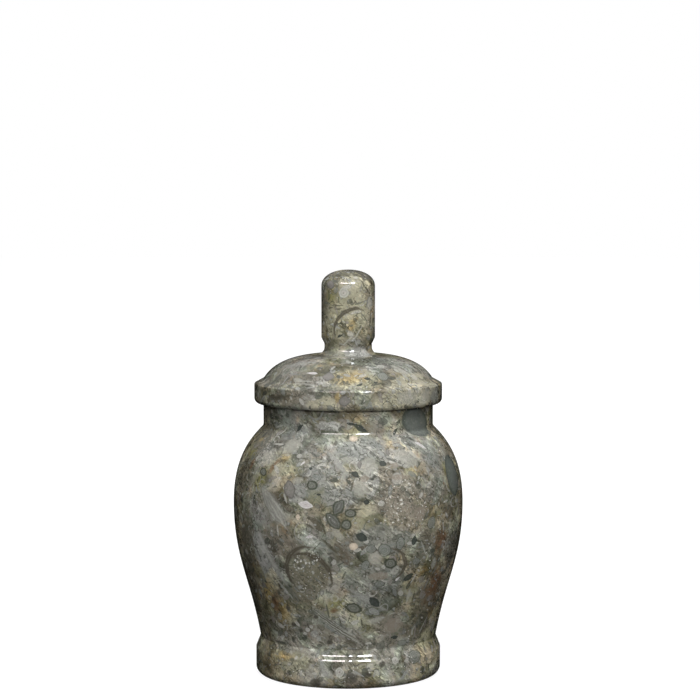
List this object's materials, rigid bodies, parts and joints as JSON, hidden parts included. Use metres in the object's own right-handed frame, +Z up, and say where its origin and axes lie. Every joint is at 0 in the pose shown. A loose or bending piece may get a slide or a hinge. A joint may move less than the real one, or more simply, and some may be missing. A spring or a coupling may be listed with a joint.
{
  "type": "cremation urn",
  "caption": "Small turned stone urn: footed jar with a full shoulder, short neck and open hollow, under a lift-off domed lid with an upright rounded knob.",
  "frame": {"origin": "centre of the foot's flat underside, which is also the centre of the surface the urn stands on", "axes": "+Z up along the axis of turning; the side seen in the picture faces -Y"},
  "size_m": [0.1008, 0.1008, 0.178],
  "materials": {
    "polished_stone": "polished grey-brown fossil limestone"
  },
  "bodies": {
    "root": {"urn_jar": "polished_stone", "urn_lid": "polished_stone"}
  },
  "joints": []
}
